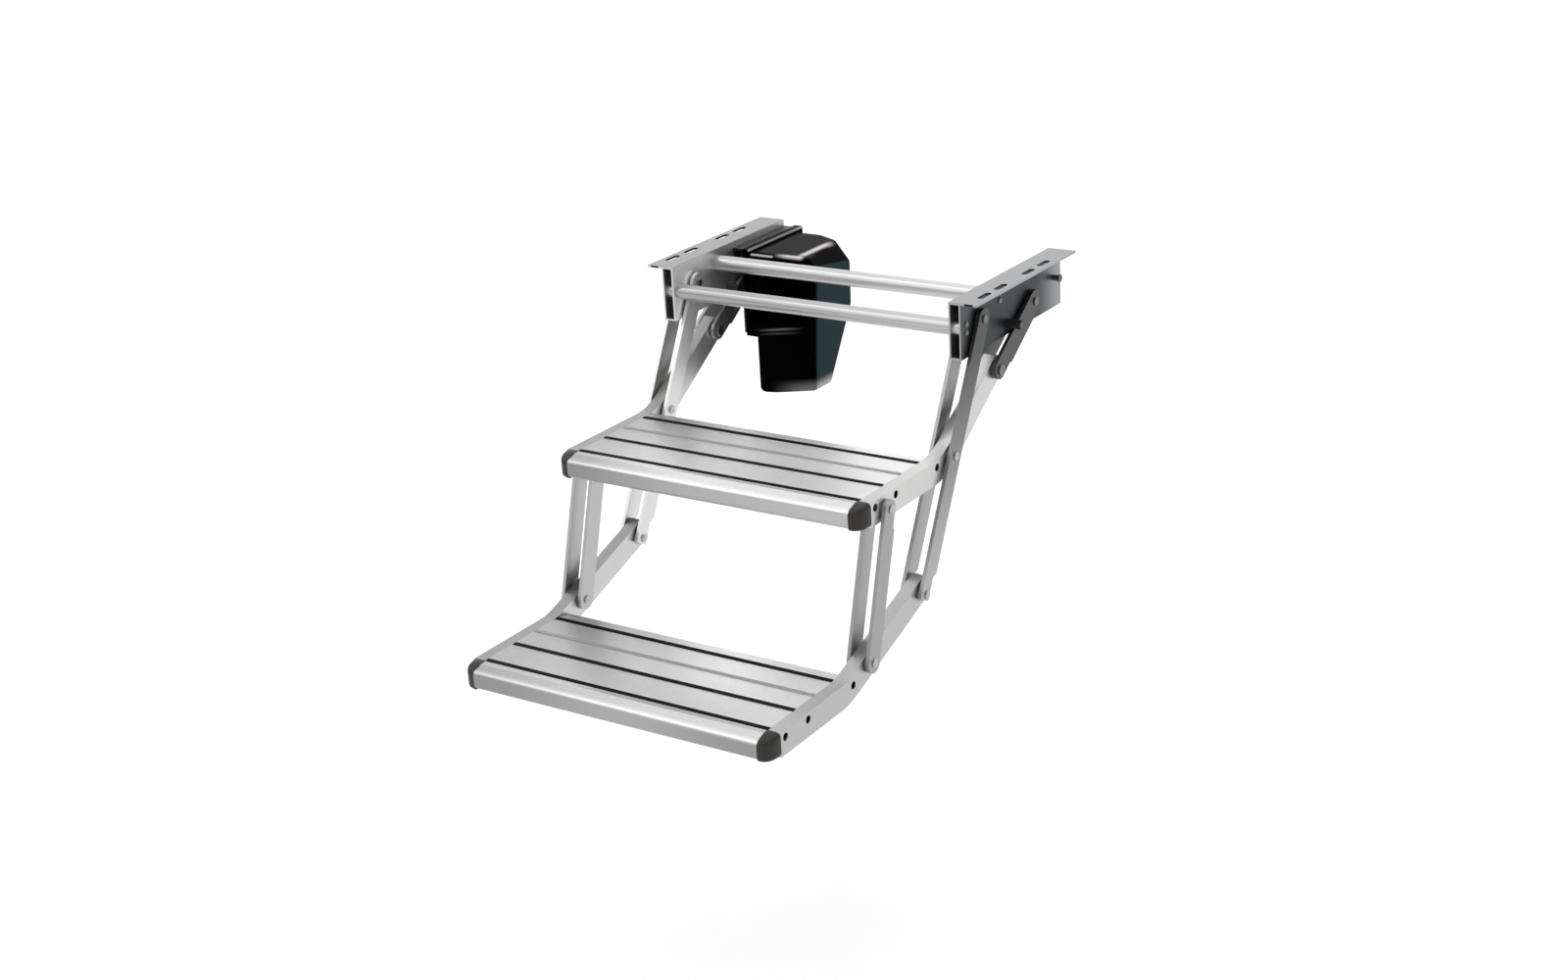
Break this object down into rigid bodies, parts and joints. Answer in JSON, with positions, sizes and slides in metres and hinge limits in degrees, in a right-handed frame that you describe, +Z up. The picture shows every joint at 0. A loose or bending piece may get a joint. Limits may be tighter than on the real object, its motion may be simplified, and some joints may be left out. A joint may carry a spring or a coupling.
{
  "type": "folding caravan entry step",
  "caption": "Motor-driven folding double entry step: aluminium treads on bent side rails, hung from box rails by flat lever linkages.",
  "frame": {"origin": "midway between the two top rails, on the plane of their flange tops, at the middle of the mounting slots", "axes": "+X to the right along a tread as seen from in front, +Y to the rear, under the vehicle, +Z up"},
  "size_m": [0.524, 0.7953, 0.4406],
  "materials": {
    "tread_aluminium": "satin anodised, extruded",
    "rail_aluminium": "satin anodised, extruded",
    "tube_aluminium": "satin, drawn tube",
    "plate_steel": "satin zinc, laser-cut plate",
    "dark_steel": "dark satin plate",
    "bolt_steel": "plain zinc",
    "screw_steel": "dark zinc",
    "bush_plastic": "natural moulded bearing plastic",
    "black_rubber": "matt black",
    "grey_plastic": "matt grey strip",
    "charcoal_plastic": "fine moulded grain, charcoal",
    "gloss_black_plastic": "gloss black",
    "black_painted_steel": "black coat",
    "gearbox_alloy": "as cast",
    "motor_steel": "dark coat"
  },
  "bodies": {
    "frame": {"left_rail": "rail_aluminium", "right_rail": "rail_aluminium", "front_tube": "tube_aluminium", "rear_tube": "tube_aluminium", "tube_plugs": "bolt_steel", "tube_screws": "bolt_steel", "stop_pins": "bolt_steel", "stop_sleeves": "black_rubber", "rear_pegs": "bolt_steel", "rail_bushes": "bush_plastic", "motor_bracket": "black_painted_steel", "bracket_screws": "bolt_steel", "gearbox": "gearbox_alloy", "motor": "motor_steel", "motor_cover": "gloss_black_plastic", "cover_screws": "bolt_steel"},
    "long_levers": {"left_inner_long_lever": "plate_steel", "left_outer_long_lever": "plate_steel", "right_inner_long_lever": "plate_steel", "right_outer_long_lever": "plate_steel", "long_lever_bolts": "bolt_steel"},
    "drive_links": {"left_inner_drive_link": "dark_steel", "left_outer_drive_link": "dark_steel", "right_inner_drive_link": "dark_steel", "right_outer_drive_link": "dark_steel", "drive_shaft": "bolt_steel", "right_drive_bolt": "bolt_steel", "drive_link_rivets": "bolt_steel"},
    "front_links": {"left_inner_front_link": "plate_steel", "left_outer_front_link": "plate_steel", "right_inner_front_link": "plate_steel", "right_outer_front_link": "plate_steel", "front_link_bolts": "bolt_steel", "front_link_rivets": "bolt_steel"},
    "upper_step": {"upper_tread": "tread_aluminium", "upper_black_strips": "black_rubber", "upper_grey_strip": "grey_plastic", "upper_left_side_rail": "rail_aluminium", "upper_right_side_rail": "rail_aluminium", "upper_left_end_cap": "charcoal_plastic", "upper_right_end_cap": "charcoal_plastic", "upper_tread_screws": "screw_steel", "upper_bushes": "bush_plastic", "upper_drive_pins": "bolt_steel"},
    "lower_step": {"lower_tread": "tread_aluminium", "lower_black_strips": "black_rubber", "lower_grey_strip": "grey_plastic", "lower_left_side_rail": "rail_aluminium", "lower_right_side_rail": "rail_aluminium", "lower_left_end_cap": "charcoal_plastic", "lower_right_end_cap": "charcoal_plastic", "lower_tread_screws": "screw_steel", "lower_bushes": "bush_plastic", "lower_front_pins": "bolt_steel"}
  },
  "joints": [
    {"name": "lever_fold", "type": "hinge", "parent": "frame", "child": "long_levers", "pos_m": [0, -0.078, -0.034], "axis": [1, 0, 0], "range_deg": [0, 70]},
    {"name": "upper_step_swing", "type": "hinge", "parent": "long_levers", "child": "upper_step", "pos_m": [0, -0.16485, -0.19734], "axis": [1, 0, 0], "range_deg": [-74.5, 0]},
    {"name": "lower_step_swing", "type": "hinge", "parent": "long_levers", "child": "lower_step", "pos_m": [0, -0.25217, -0.36157], "axis": [1, 0, 0], "range_deg": [-90.1, 0]},
    {"name": "front_link_swing", "type": "hinge", "parent": "upper_step", "child": "front_links", "pos_m": [0, -0.33455, -0.21185], "axis": [1, 0, 0], "range_deg": [0, 70.8]},
    {"name": "drive_link_swing", "type": "hinge", "parent": "frame", "child": "drive_links", "pos_m": [0, 0.069, -0.0495], "axis": [1, 0, 0], "range_deg": [0, 122.1]}
  ],
  "couplings": [
    {"joint": "upper_step_swing", "follows": "lever_fold", "ratio": -1.0628},
    {"joint": "lower_step_swing", "follows": "lever_fold", "ratio": -1.2859},
    {"joint": "front_link_swing", "follows": "lever_fold", "ratio": 1.0102},
    {"joint": "drive_link_swing", "follows": "lever_fold", "ratio": 1.7424}
  ]
}
